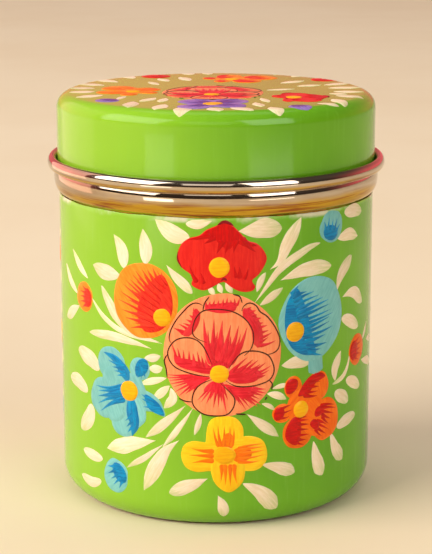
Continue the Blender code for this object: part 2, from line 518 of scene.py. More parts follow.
def cap_section(skin_inset, thickness, skirt_bottom):
    """A cap with a flat top, whose outer side lies skin_inset inside the lid's outer surface."""
    skin = LID_RADIUS - skin_inset
    outer_corner = LID_CORNER - skin_inset
    inner_corner = outer_corner - thickness
    centre = (LID_FLAT, HEIGHT - LID_CORNER)
    across = [LID_FLAT * step / LID_STEPS for step in range(LID_STEPS)]
    outer = [(radius, HEIGHT - skin_inset) for radius in across]
    outer += arc(centre, (outer_corner, outer_corner), 90, 0, 16)
    outer += [(skin, z) for z in reversed(LID_STATIONS)]
    outer += [(skin, skirt_bottom + 0.1), (skin - 0.1, skirt_bottom)]
    inner = [(skin - thickness, z) for z in (skirt_bottom, *LID_STATIONS)]
    inner += arc(centre, (inner_corner, inner_corner), 0, 90, 16)
    inner += [(radius, HEIGHT - skin_inset - thickness) for radius in reversed(across)]
    return outer + inner


def turned(name, outline, finish, body, node):
    """A solid of revolution that stands for a CAD node."""
    form = bmesh.new()
    points = [form.verts.new((radius * MM, 0.0, height * MM)) for radius, height in outline]
    edges = [form.edges.new(pair) for pair in zip(points, points[1:])]
    if outline[0][0] > 0:
        edges.append(form.edges.new((points[-1], points[0])))
    bmesh.ops.spin(form, geom=points + edges, cent=(0, 0, 0), axis=(0, 0, 1), angle=tau,
                   steps=TURN_STEPS, use_merge=True)
    bmesh.ops.remove_doubles(form, verts=form.verts, dist=WELD * MM)
    piece = add_piece(form, name, finish, SHELL_CREASE)
    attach(piece, body)
    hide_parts(node)
    return piece


# The brushed upper edge of the body's enamel.
EDGE_WAVES = ((5, 0.0, 1.0), (22, 4.0, 0.4))  # fineness, place in the noise, strength
EDGE_DROP = 0.6  # puts most of the waves below the CAD's edge
EDGE_DEPTH = 0.22
EDGE_REACH = 1.0  # from the edge down to where the waves end


def uneven_edge(piece):
    """The upper edge of the body's enamel wanders a little up and down."""
    for point in piece.data.vertices:
        above = point.co.z / MM - (ENAMEL_TOP - EDGE_REACH)
        if above > 0:
            angle = atan2(point.co.y, point.co.x)
            wander = -EDGE_DROP
            for fineness, seed, strength in EDGE_WAVES:
                where = Vector((cos(angle) * fineness, sin(angle) * fineness, seed))
                wander += noise.noise(where) * strength
            point.co.z += wander * EDGE_DEPTH * above * MM


def add_shells():
    turned("body_shell_steel", body_section(), "steel", "canister", "canister_body")
    coat = turned("body_coat", body_coat_section(), "enamel", "canister", "body_enamel")
    uneven_edge(coat)
    cap = cap_section(STEEL_INSET, SHEET, LID_SEAT)
    turned("lid_cap_steel", cap, "lid_steel", "lid", "lid_shell")
    cap_coat = cap_section(0.0, COAT, LID_ENAMEL_BOTTOM)
    turned("lid_coat", cap_coat, "lid_enamel", "lid", "lid_enamel")


add_shells()


# ---------------------------------------------------------------- painted surfaces

class Wall:
    """The body's wall, painted from one side. turn is where the middle of that side is."""

    body = "canister"
    slot = "green_enamel"

    def __init__(self, name, turn):
        self.name = name
        self.turn = turn

    def place(self, s, z, lift):
        """The point lift millimetres above the enamel at (s, z), in metres."""
        fall = max(0.0, BASE_CORNER_TOP - z) / BASE_CORNER
        height = z if fall == 0 else BASE_CORNER_TOP - (BASE_CORNER + lift) * sin(fall)
        radius = BODY_RADIUS + lift if fall == 0 else BASE_CENTRE + (BASE_CORNER + lift) * cos(fall)
        angle = s / BODY_RADIUS + self.turn
        return Vector((radius * sin(angle), -radius * cos(angle), height)) * MM


class LidTop:
    """The top of the lid, and the wall below its edge."""

    body = "lid"
    slot = "lid_green_enamel"
    name = "lid"

    def place(self, x, y, lift):
        """The point lift millimetres above the enamel at (x, y), in metres."""
        out = hypot(x, y)
        bend = min(max(0.0, out - LID_FLAT) / LID_CORNER, pi / 2)
        drop = max(0.0, out - LID_FLAT - LID_CORNER * pi / 2)
        radius = out if bend == 0 else LID_FLAT + (LID_CORNER + lift) * sin(bend)
        height = HEIGHT - LID_CORNER - drop
        height += LID_CORNER + lift if bend == 0 else (LID_CORNER + lift) * cos(bend)
        angle = atan2(y, x)
        return Vector((radius * cos(angle), radius * sin(angle), height)) * MM


class Moved:
    """A surface on which a design is drawn smaller, turned and in another place."""

    def __init__(self, surface, origin, target, scale, turn=0.0):
        self.surface = surface
        self.body = surface.body
        self.slot = surface.slot
        self.name = surface.name
        self.origin = Vector(origin)
        self.target = Vector(target)
        self.along = Vector((cos(turn), sin(turn))) * scale
        self.up = Vector((-sin(turn), cos(turn))) * scale

    def place(self, x, y, lift):
        away = Vector((x, y)) - self.origin
        where = self.target + self.along * away.x + self.up * away.y
        return self.surface.place(where.x, where.y, lift)


# ---------------------------------------------------------------- brush work

TUCK = 0.03  # how far the edge of the paint goes into the enamel
STATION = 0.45  # between the cross sections of a stroke
CROWDING = 0.55  # how far they are drawn towards its ends: 0 is evenly spaced
EDGE = 0.22  # width of the rounded edge of a mark
STROKE_EDGE = 0.4  # the most that it takes of half a stroke's width
BLOB_EDGE = 0.3  # the most that it takes of a filled shape's reach from its centre
THINNEST = 0.06  # half the least width of a stroke
SHAKE = 0.16  # how much a stroke's middle wanders, as a share of half its width
OUTLINE_STEP = 1.1  # between the points round a filled shape
RING_STEP = 1.6  # between the rings inside it
LIFT_STEP = 0.003  # keeps the marks of one layer from lying face to face
LIFT_STEPS = 9
STREAK_SHIFT = 3.7  # gives each mark its own part of the noise that streaks it
CREASE = 60  # degrees

# Thickness of the paint above the enamel, in the order that it is laid on.
LEAF, PETAL, FEATHER, LINE, DOT = 0.05, 0.09, 0.14, 0.17, 0.2


def smooth(points, spacing, closed=False):
    """Points along a Catmull-Rom curve through the given ones, about spacing apart."""
    points = [Vector(point) for point in points]
    count = len(points)
    made = []
    for index in range(count if closed else count - 1):
        if closed:
            p0, p1, p2, p3 = (points[(index + step) % count] for step in (-1, 0, 1, 2))
        else:
            p0, p1, p2, p3 = (points[min(max(index + step, 0), count - 1)] for step in (-1, 0, 1, 2))
        steps = max(1, ceil((p2 - p1).length / spacing))
        for step in range(steps):
            t = step / steps
            bend = (p2 - p0) * t + (2 * p0 - 5 * p1 + 4 * p2 - p3) * t**2 + (3 * p1 - p0 - 3 * p2 + p3) * t**3
            made.append(p1 + bend / 2)
    if not closed:
        made.append(points[-1])
    return made


def respaced(line, spacing):
    """The line as (point, share of the length), with points closer near its ends, and its length."""
    lengths = [0.0]
    for start, end in zip(line, line[1:]):
        lengths.append(lengths[-1] + (end - start).length)
    total = lengths[-1]
    count = max(8, ceil(total / spacing))
    made = []
    index = 0
    for step in range(count + 1):
        even = step / count
        share = even * (1 - CROWDING) + (1 - cos(pi * even)) / 2 * CROWDING
        while index < len(line) - 2 and lengths[index + 1] < share * total:
            index += 1
        part = (share * total - lengths[index]) / (lengths[index + 1] - lengths[index])
        made.append((line[index].lerp(line[index + 1], part), share))
    return made, total


def oval(centre, wide, tall, wobble=0.04):
    """Outline of a hand-painted oval, as closed points."""
    count = 14
    phase = draw.uniform(0, 50)
    made = []
    for step in range(count):
        angle = tau * step / count
        size = 1 + wobble * noise.noise(Vector((cos(angle) * 1.3 + phase, sin(angle) * 1.3, 0.0))) * 2
        made.append((centre[0] + wide * size * cos(angle), centre[1] + tall * size * sin(angle)))
    return made


def bulge(root, belly, tip):
    """A shape that is widest at belly. The greater root and tip are, the sharper those ends."""
    def width(t):
        share = t / belly if t < belly else (1 - t) / (1 - belly)
        return sin(pi / 2 * share) ** (root if t < belly else tip)
    return width


# The shape of a stroke gives its width at a share of its length, both from 0 to 1.
leaf_shape = bulge(0.95, 0.64, 0.5)  # drawn out at the start, and round at the end
petal_shape = bulge(0.5, 0.42, 0.8)  # round at the start, and drawn out to the end
lens_shape = bulge(0.68, 0.52, 0.68)
round_shape = bulge(0.42, 0.5, 0.42)
spear_shape = bulge(1.05, 0.62, 0.8)  # drawn out at the start, and pointed at the end


def blunt_shape(t):
    """Pointed at the start and wide almost to the end."""
    return min(1.0, 1.4 * t**0.65) * min(1.0, ((1 - t) / 0.2)) ** 0.5


def barb_shape(t):
    """Wide at the start, then drawn out to a point."""
    return (1 - t) ** 0.75 * min(1.0, (t / 0.06 + 0.15)) ** 0.5


def line_shape(t):
    """Even, with short tapered ends."""
    return min(1.0, 6 * t + 0.3, 6 * (1 - t) + 0.3)


class Layer:
    """The paint of one colour in one place, joined in a piece."""

    def __init__(self, surface, name, finish, thickness):
        self.surface = surface
        self.name = f"{surface.name}_{name}"
        self.finish = finish
        self.thickness = thickness
        self.count = 0
        self.form = bmesh.new()
        self.place_layer = self.form.verts.layers.float_vector.new("brush_place")
        self.state_layer = self.form.verts.layers.float_vector.new("brush_state")

    def begin(self):
        """Starts a mark, which has its own height and its own tone."""
        self.count += 1
        self.lift = self.thickness + LIFT_STEP * (self.count % LIFT_STEPS)
        self.tone = draw.random()

    def vertex(self, where, lift, across, along, share, rim):
        vert = self.form.verts.new(self.surface.place(where[0], where[1], lift))
        vert[self.place_layer] = (across, along, self.count * STREAK_SHIFT)
        vert[self.state_layer] = (share, self.tone, rim)
        return vert

    def stroke(self, path, width, shape=leaf_shape, spacing=STATION):
        """One brush mark along a path, as a closed tube with a flat, tucked-in underside."""
        self.begin()
        stations, total = respaced(smooth(path, spacing / 3), spacing)
        phase = draw.uniform(0, 90)
        rings = []
        for index, (point, share) in enumerate(stations):
            after = stations[min(index + 1, len(stations) - 1)][0]
            ahead = after - stations[max(index - 1, 0)][0]
            side = Vector((-ahead.y, ahead.x)).normalized()
            half = max(width / 2 * shape(min(max(share, 0.005), 0.995)), THINNEST)
            shake = 1 + SHAKE * noise.noise(Vector((phase, share * total * 0.2, 0.0)))
            left = half * shake
            right = half * (2 - shake)
            edge = min(EDGE, half * STROKE_EDGE)
            ring = []
            for place, lift, rim in ((-left, -TUCK, 1.0), (edge - left, self.lift, 0.5),
                                     (0.0, self.lift, 0.0),
                                     (right - edge, self.lift, 0.5), (right, -TUCK, 1.0)):
                ring.append(self.vertex(point + side * place, lift, place, share * total, share, rim))
            rings.append(ring)
        for ring, following in zip(rings, rings[1:]):
            for index in range(5):
                other = (index + 1) % 5
                self.form.faces.new((ring[index], ring[other], following[other], following[index]))
        self.form.faces.new(rings[0][::-1])
        self.form.faces.new(rings[-1])

    def blob(self, outline, centre=None, grain=0.0, crown=0.0):
        """A filled shape inside a closed outline that can all be seen from its centre.

        The grain is the direction of its streaks, and the crown is how much its middle is raised.
        """
        self.begin()
        ring_points = smooth(outline, OUTLINE_STEP, closed=True)
        if centre is None:
            centre = sum(ring_points, Vector((0, 0))) / len(ring_points)
        centre = Vector(centre)
        reach = max((point - centre).length for point in ring_points)
        edge = min(EDGE, reach * BLOB_EDGE) / reach
        layers = max(2, ceil(reach / RING_STEP))
        shares = [step / layers * (1 - edge) for step in range(1, layers + 1)]
        along = Vector((cos(grain), sin(grain)))
        across = Vector((-along.y, along.x))

        # The rings run outward over the top, round the edge, and inward underneath.
        levels = [(share, self.lift + crown * (1 - share**2)) for share in shares]
        levels += [(1, -TUCK)] + [(share, -TUCK) for share in shares[::-1]]
        rings = []
        for share, lift in levels:
            ring = []
            for point in ring_points:
                away = (point - centre) * share
                where = centre + away
                rim = 1.0 if share == 1 else 0.0
                ring.append(self.vertex(where, lift, away.dot(across), away.dot(along), share * 0.3, rim))
            rings.append(ring)
        count = len(ring_points)
        for ring, following in zip(rings, rings[1:]):
            for index in range(count):
                other = (index + 1) % count
                self.form.faces.new((ring[index], following[index], following[other], ring[other]))
        for ring, lift, turn in ((rings[0], self.lift + crown, 1), (rings[-1], -TUCK, -1)):
            hub = self.vertex(centre, lift, 0.0, 0.0, 0.0, 0.0)
            for index in range(count):
                corners = (hub, ring[index], ring[(index + 1) % count])
                self.form.faces.new(corners[::turn])

    def fan(self, root, tips, width, bow=0.12):
        """Tapered marks from places spread along the root line to each tip, like a comb."""
        roots = smooth(root, 0.3)
        for index, tip in enumerate(tips):
            share = index / max(1, len(tips) - 1)
            start = roots[round(share * (len(roots) - 1))]
            tip = Vector(tip)
            across = Vector((start.y - tip.y, tip.x - start.x))
            middle = (start + tip) / 2 + across * bow * (0.5 - share) * draw.uniform(0.6, 1.2)
            self.stroke([start, middle, tip], width * draw.uniform(0.85, 1.15), barb_shape, 0.9)

    def done(self):
        piece = add_piece(self.form, self.name, self.finish, CREASE)
        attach(piece, self.surface.body)


# ---------------------------------------------------------------- the bouquet on the wall

def one_blob(surface, name, finish, thickness, outline, **settings):
    layer = Layer(surface, name, finish, thickness)
    layer.blob(outline, **settings)
    layer.done()


def centre_dot(surface, name, centre, radius):
    """The yellow bead of paint in the middle of a flower."""
    one_blob(surface, f"{name}_dot", "yolk", DOT, oval(centre, radius, radius, 0.03), crown=0.14)


def peony(wall):
    one_blob(wall, "peony_petals", "salmon", PETAL, oval((1.9, 55.2), 18.3, 19.1, 0.015), grain=pi / 2)
    marks = Layer(wall, "peony_marks", "crimson", FEATHER)
    # Inner petal, above the dot.
    marks.blob([(-1.2, 51.2), (-1.6, 54), (-2.2, 57.5), (-1.4, 59.6), (1, 59), (3, 57.8), (5.2, 58.2),
        (6.4, 57.4), (5.6, 55), (4, 51.2)], grain=pi / 2)
    marks.fan([(-1.1, 52.5), (1.5, 53.5), (3.8, 52.5)],
        [(-3.7, 66.6), (-0.6, 66.4), (1.9, 66.1), (4.4, 64.7), (6.8, 64.4), (9.3, 63.7)], 3.0)
    marks.fan([(-0.8, 54), (4.2, 54)], [(-2.4, 63), (0.4, 62.6), (2.2, 61.5), (4.4, 61.2), (7.4, 61.8)], 2.4)
    # Left middle petal.
    marks.blob([(0, 49.6), (-0.6, 51.2), (-2.6, 52.6), (-5.5, 53.4), (-8.6, 54), (-11.8, 54.4),
        (-12.8, 55.4), (-12.6, 52.8), (-10.6, 51.2), (-7.2, 50.3), (-3.6, 49.5)], centre=(-6.6, 52))
    marks.fan([(-2.4, 51.4), (-12, 52.8)],
        [(-3.2, 54), (-4.3, 55), (-5.6, 56.4), (-6.9, 55.8), (-8.1, 56.6), (-9.9, 56.7), (-11.6, 57.2),
         (-13.5, 58.6)], 1.7)
    # Left lower petal: strokes that spread from beside the dot.
    marks.blob([(-1.6, 48.4), (-5, 48.9), (-9, 49.2), (-11.6, 48.8), (-10, 47.4), (-8.6, 46), (-5.8, 45.7),
        (-3.4, 47)], centre=(-7, 47.7))
    marks.fan([(-7, 48.9), (-5.6, 46)],
        [(-15, 48.7), (-15.2, 47.7), (-14.3, 46.9), (-14, 45.8), (-12.9, 45), (-12.6, 43.4), (-11.3, 42.2),
         (-9.3, 42.9), (-8.2, 43.6), (-7, 43.4)], 1.35, bow=0.05)
    # Bottom petal.
    marks.blob([(-0.8, 47.4), (-3.2, 45.6), (-3.8, 43.8), (-1.6, 44), (0.4, 43.4), (2.4, 43.6), (2.4, 45.4),
        (2.2, 47)], grain=pi / 2)
    marks.fan([(-1.2, 46.6), (0.6, 45.4), (2, 46.4)],
        [(-5.6, 41.2), (-4.6, 40.6), (-3, 40.1), (-1.9, 41.2), (-0.8, 39), (0.7, 39.1), (1.8, 40.6),
         (3.2, 37.1), (3.6, 41.2)], 1.5, bow=0.05)
    # Right lower petal.
    marks.blob([(2.4, 46.4), (4, 44.2), (6.6, 42.2), (9.2, 41.4), (11.4, 42.4), (12.4, 44), (10.8, 45.2),
        (7, 45.2)], centre=(7.2, 43.8))
    marks.fan([(3.4, 45.4), (8, 43.4), (11, 44.8)],
        [(6.2, 40.9), (7.6, 39.4), (9, 38.1), (10.2, 38.7), (11.1, 39.6), (12.6, 38.9), (13.7, 39.4),
         (13.2, 41.2), (14.3, 42.2), (15.4, 42.8), (15.3, 44.1)], 1.6, bow=0.06)
    # Right middle petal.
    marks.blob([(3.2, 49.8), (5, 50.8), (7.6, 51.3), (10.6, 51), (13.4, 50), (13.6, 48.2), (11.6, 46.6),
        (8, 46.2), (5.2, 46.6), (3.4, 47.8)], centre=(8, 48.8))
    marks.fan([(4.4, 50), (8, 49.6), (12.4, 48.2)],
        [(7.6, 53), (9.4, 54.4), (10.6, 52.8), (11.2, 53.7), (12.8, 53.4), (13.4, 52), (15.1, 52.4),
         (16.9, 51.4), (16.2, 50), (15.2, 48.6)], 1.7)
    # Petals behind, at the top and at both sides.
    marks.blob([(-3.4, 69.4), (-2.8, 70.9), (0, 71.2), (3.4, 71.6), (6.2, 71.4), (6.3, 70), (5.2, 68.6),
        (1.5, 68.2), (-1.6, 68.7)])
    marks.fan([(-2.8, 70.2), (6.2, 70.4)],
        [(-2.9, 71.7), (-1.7, 71.9), (-0.4, 72.3), (0.9, 72.3), (2.2, 72.7), (3.4, 73.1), (4.4, 72.4),
         (5.5, 72.8), (7, 72.9)], 1.25)
    marks.stroke([(8.2, 69.4), (10.4, 66.6), (12.3, 62.6), (12.9, 57.3)], 3.6, line_shape)
    marks.fan([(9.4, 69), (12.4, 64.5), (13.2, 57.8)],
        [(10.6, 69.9), (12, 68.8), (12.4, 67.4), (13.7, 66.4), (14.3, 64.9), (15.6, 64), (16, 62.4),
         (17, 61.6), (15.8, 60.2), (18.2, 59)], 1.7)
    marks.stroke([(-5.9, 69.6), (-6.1, 66), (-7.4, 63.2), (-9.8, 61.2)], 2.6, line_shape)
    marks.fan([(-6, 67.4), (-7.6, 63), (-9.6, 61.6)],
        [(-6.7, 69.9), (-8, 67.6), (-9, 66.2), (-9.9, 65), (-11.2, 64.7), (-11.8, 63.2), (-12.8, 63.4)], 1.5)
    marks.done()
    outline = Layer(wall, "peony_outline", "outline", LINE)
    for path in PEONY_OUTLINE:
        outline.stroke(path, 0.5, line_shape, spacing=0.7)
    outline.done()
    centre_dot(wall, "peony", (1, 49.5), 2.95)


PEONY_OUTLINE = [
    # Inner petal.
    [(-2.8, 59.3), (-5.5, 60.3), (-7, 62), (-6.5, 65.5), (-5, 68), (-3, 69.2), (1, 69.5), (5, 68.7),
     (8.5, 66.5), (10.8, 63.2), (11.3, 60), (10.5, 57), (8.5, 55)],
    # Petals behind it.
    [(-3.9, 69), (-3.4, 71.3), (-2, 73.4)],
    [(5, 74), (7, 73.3), (7.8, 71.3)],
    [(-4, 70.6), (-5.5, 71.3), (-7.5, 70.8), (-10, 68.3), (-12.3, 65.3), (-13.8, 62.3), (-14.2, 60),
     (-13.7, 58.7)],
    [(7.6, 68.8), (8.3, 70.3), (10, 71.2), (12, 70.3), (13.3, 68.3), (15.5, 66.7), (18, 63.3), (19.6, 59.5),
     (19.2, 56.5), (17.5, 55.2), (15.5, 54.9)],
    # Side petals.
    [(-1.2, 52.5), (-2.5, 55.5), (-4, 58.3), (-6, 60), (-8.5, 60.6), (-11.5, 60), (-13.7, 58), (-14.7, 55.5),
     (-14, 53), (-12, 51), (-8, 49.6), (-4.5, 48.9), (-2, 48.7)],
    [(3.8, 51), (5, 53), (7, 55.3), (9.5, 56.3), (13, 56), (16, 54.5), (17.5, 51.8), (17.8, 49.3),
     (16.5, 47), (13.5, 45.8), (10, 45.3), (6, 45.6), (3, 47.3)],
    [(-14.8, 55), (-15.8, 53), (-15.2, 50.5), (-14.9, 48)],
    # Bottom petal.
    [(-1.3, 47.8), (-4.5, 46.3), (-6.5, 44), (-7.2, 41), (-6.3, 38.8), (-4, 37), (-1, 36.4), (3, 36.6),
     (5, 38.5), (5.7, 41), (5, 42.8), (3, 45), (1.3, 46.7)],
    # Short marks at the lower edge.
    [(-11.2, 41.5), (-9.5, 40.8), (-7.3, 40.6)],
    [(16.3, 46.8), (17.3, 45.5), (17.1, 43.7)],
    [(15.7, 41.6), (15, 40.7)],
    [(6, 36.9), (9, 36.6)],
]


def red_flower(wall):
    one_blob(wall, "red_flower_petals", "scarlet", PETAL, [(3, 96.3), (0, 94.8), (-3, 93.5), (-5, 91.8),
        (-8, 91), (-10.3, 89.2), (-11.6, 86), (-11.3, 83.5), (-10, 81.7), (-6.9, 79.3), (-7.3, 76.8),
        (-4.3, 75.2), (-2, 75.7), (0.3, 77), (2.3, 77.8), (4, 76.5), (6.5, 75), (9, 74.5), (11.3, 75),
        (11.8, 76.3), (10.8, 77.9), (13, 79.8), (15, 83), (15.3, 85), (14, 87.5), (12, 89.3), (9.5, 90.2),
        (7, 92.8), (5, 94.8)], centre=(1.5, 85.5), grain=pi / 2)
    marks = Layer(wall, "red_flower_marks", "wine", FEATHER)
    marks.blob([(-4.4, 91.9), (-3, 93.2), (0, 94.5), (3, 95.9), (5, 94.4), (7, 92.4), (9.6, 89.8),
        (12.4, 88.6), (9, 88.2), (6, 89.4), (4, 87.6), (1.6, 88.6), (-0.4, 90.6), (-2.4, 90.8)],
        centre=(2.6, 91.6), grain=pi / 2)
    marks.fan([(-1.6, 92), (3.4, 90), (7.4, 91)],
        [(-8.4, 90.6), (-3.4, 89.4), (0.2, 86.4), (2.6, 86.2), (5.2, 86.6), (11.8, 86.6)], 2.6)
    marks.fan([(6, 79), (8.4, 78.4)], [(5.4, 82.6), (7, 82.4), (9.6, 81.8)], 1.8)
    marks.fan([(-5.6, 77.6), (-3.8, 77.2)], [(-7.8, 82.6), (-4.6, 80.6)], 1.8)
    marks.done()
    shade = Layer(wall, "red_flower_shade", "maroon", LINE)
    shade.stroke([(0.4, 95), (2.6, 95.9), (5.2, 94.8)], 1.2, lens_shape)
    shade.stroke([(-11.4, 86.6), (-11.4, 84.2), (-10.2, 81.9)], 0.6, lens_shape)
    shade.stroke([(1.5, 78.2), (2.4, 78.8), (3.2, 78.2)], 1.0, lens_shape)
    shade.done()
    centre_dot(wall, "red_flower", (1, 82.2), 3.2)


def orange_bud(wall):
    one_blob(wall, "orange_bud_petals", "orange", PETAL, oval((-22.3, 71), 11, 11.8, 0.025), grain=2.2)
    marks = Layer(wall, "orange_bud_marks", "vermilion", FEATHER)
    marks.blob([(-17.5, 61.8), (-14.2, 65), (-12.9, 70), (-13.8, 75.5), (-16.3, 79.6), (-19.6, 77.4),
        (-22.2, 74), (-24.2, 70), (-24.6, 66), (-22.4, 61.4)], grain=2.2)
    marks.fan([(-15.5, 76), (-18, 72.5), (-19, 66), (-19.5, 62.5)],
        [(-16.5, 80.2), (-19.3, 81.3), (-21, 80.5), (-22.8, 80.4), (-25, 79.8), (-26, 78.5), (-27, 77),
         (-28.5, 76.5), (-29.5, 75.2), (-30.5, 72.8), (-31.5, 70.3), (-30.3, 67.3), (-28.7, 65), (-27, 62)],
         2.1, bow=0.1)
    marks.fan([(-18.5, 75), (-19, 63.5)],
        [(-22, 78.4), (-24.6, 76.6), (-26.5, 73.6), (-27.8, 70.6), (-27.6, 67), (-25.6, 63.6)], 2.6)
    marks.done()
    streaks = Layer(wall, "orange_bud_streaks", "cherry", LINE)
    streaks.fan([(-14.6, 76), (-16.6, 72), (-17.8, 66), (-18.6, 62.8)],
        [(-17.8, 80.4), (-20.2, 79.6), (-22.2, 79), (-24, 77.8), (-25.4, 75.8), (-26.4, 73.8), (-27, 71.4),
         (-27.4, 69), (-26.4, 66), (-24.6, 62.6)], 0.7, bow=0.1)
    streaks.done()
    centre_dot(wall, "orange_bud", (-16.4, 66.3), 2.9)


def blue_bud(wall):
    petals = Layer(wall, "blue_bud_petals", "sky", PETAL)
    petals.blob(oval((31.8, 64.3), 12.3, 13.2, 0.025), grain=1.0)
    petals.stroke([(32.2, 55), (32.6, 51), (33, 46.6)], 5.8, line_shape)
    petals.done()
    marks = Layer(wall, "blue_bud_marks", "azure", FEATHER)
    marks.blob([(21.4, 61.5), (21.2, 66), (22.2, 71), (25.4, 74.4), (27.4, 71), (29.2, 66.5), (30.4, 62),
        (31.6, 57.5), (32.6, 53), (28, 53.2), (24.2, 55.4), (22.2, 58.4)], centre=(26, 63))
    marks.fan([(23.6, 72.4), (25, 67), (27, 60), (29.5, 54)],
        [(25.8, 75.2), (28.8, 73), (31.5, 72.7), (33.5, 71.3), (35.3, 70.4), (37.5, 69.3), (38, 67.8),
         (38.5, 66), (39.5, 64.8), (38, 63.8), (38, 62.3), (39.5, 60.6), (36.4, 58.5), (37, 55.8),
         (34.5, 54.3), (35, 52.2)], 2.1, bow=0.1)
    marks.done()
    centre_dot(wall, "blue_bud", (24.8, 61), 3.3)


def blue_flower(wall):
    petals = Layer(wall, "blue_flower_petals", "sky", PETAL)
    for centre, wide, tall in (((-35, 49.5), 5.8, 5.4), ((-38, 38), 6.4, 6.4), ((-34, 44.5), 4.5, 4.5),
                               ((-29.8, 32.4), 5.2, 5.6), ((-24, 49.4), 3.6, 3.7), ((-27.8, 41.5), 6, 6.5),
                               ((-33.5, 35.5), 4.5, 4.5), ((-25.5, 35.5), 3.6, 5)):
        petals.blob(oval(centre, wide, tall), grain=2.0)
    petals.blob([(-25, 43), (-21, 42.6), (-17.4, 40.4), (-15.6, 35.4), (-19, 36.4), (-24, 37)], grain=2.0)
    petals.done()
    marks = Layer(wall, "blue_flower_marks", "azure", FEATHER)
    marks.stroke([(-37.8, 52.6), (-33.4, 51.4), (-30, 48.4), (-28.2, 44.6)], 3.8, blunt_shape)
    marks.fan([(-29.4, 50), (-28.8, 46.5)], [(-36, 50.5), (-34.3, 48.6), (-33.3, 47.5), (-32.4, 46.2)], 1.9)
    marks.fan([(-29.6, 43.2), (-30, 41), (-29.4, 39.2)],
        [(-41.5, 41.2), (-40.5, 39.8), (-40.7, 38), (-40.7, 35.7), (-39.6, 33.4)], 2.6)
    marks.stroke([(-27, 40.4), (-26.7, 36), (-26, 32), (-26.9, 27.8)], 4.6, petal_shape)
    marks.fan([(-27, 35), (-26.4, 30.6)], [(-29.3, 32.2), (-28.9, 30.4), (-28.4, 28.8)], 1.7)
    marks.blob([(-22.4, 41.8), (-18.6, 40.2), (-16.6, 38), (-15.8, 35.6), (-18.6, 36), (-21.4, 37.8)])
    marks.fan([(-19.5, 40), (-19, 37.4)], [(-23.4, 41.6), (-23.4, 40.2), (-22.8, 37.7)], 1.5)
    marks.blob([(-25.2, 46.8), (-25.6, 50), (-24, 52.6), (-21.6, 52.6), (-20.9, 50), (-22.4, 47.6)])
    marks.fan([(-24, 51), (-22.5, 49)], [(-24.8, 46.4), (-23.4, 46.4), (-22, 47)], 1.4)
    marks.done()
    centre_dot(wall, "blue_flower", (-27.8, 42), 3.3)


def orange_flower(wall, name="orange_flower", petal="tangerine", mark="cherry"):
    petals = Layer(wall, f"{name}_petals", petal, PETAL)
    for centre, wide, tall in (((33.6, 42.6), 4.7, 4.7), ((24.4, 43.6), 3.2, 3.6), ((20.7, 35.8), 3.4, 3),
                               ((37, 31.4), 6, 6.9), ((26.4, 29), 5.6, 5.2), ((28, 37), 5.8, 6),
                               ((32.4, 33), 5, 6.4)):
        petals.blob(oval(centre, wide, tall), grain=draw.uniform(0, pi))
    petals.done()
    marks = Layer(wall, f"{name}_marks", mark, FEATHER)
    marks.blob([(26, 40.4), (27.6, 43.6), (30.6, 46.2), (34.5, 46.9), (36.8, 45.2), (33, 43.8), (30, 41)])
    marks.fan([(30, 45), (28, 40.6)],
        [(35.6, 45.2), (34.5, 43.9), (34, 42.4), (33.6, 41), (33.4, 39.6)], 2.0)
    marks.blob([(22, 41.8), (21.6, 44.6), (23.2, 46.4), (25.8, 46), (26, 43.6), (24, 41.6)])
    marks.blob([(17.7, 35), (18.4, 37.6), (20.6, 38), (21.6, 36), (20.6, 34), (18.6, 33.6)])
    marks.fan([(20.4, 37.2), (20, 34.4)], [(23.6, 38.2), (24, 36.6), (23, 34.6)], 1.4)
    marks.blob([(24.6, 34.2), (22.2, 31.4), (21.6, 28), (23.6, 25.6), (26, 25), (27.4, 28.6), (27, 33)])
    marks.fan([(26, 33.4), (25.6, 26)],
        [(29.3, 33.6), (30, 32.4), (30.2, 31), (30.3, 29.4), (30.3, 27.8), (29.3, 26.3), (28.3, 24.8)], 1.7)
    marks.blob([(32.3, 34.6), (33.6, 36), (36, 35.8), (36.4, 33.6), (34, 32.6), (32.4, 33)])
    marks.fan([(34.6, 36), (35.4, 32.6)],
        [(41, 35.2), (41.6, 34), (40.7, 32.5), (39.3, 31), (38.4, 29.5)], 1.9)
    marks.blob([(30.4, 30.8), (32, 32.4), (34.2, 31.2), (34.2, 28.8), (32.6, 28.6)])
    marks.fan([(33, 31.4), (32.6, 29)], [(37.6, 29.4), (38.6, 27.6), (37.2, 26.6), (35.4, 26.2)], 1.8)
    marks.done()
    centre_dot(wall, name, (27.2, 36.3), 2.8)


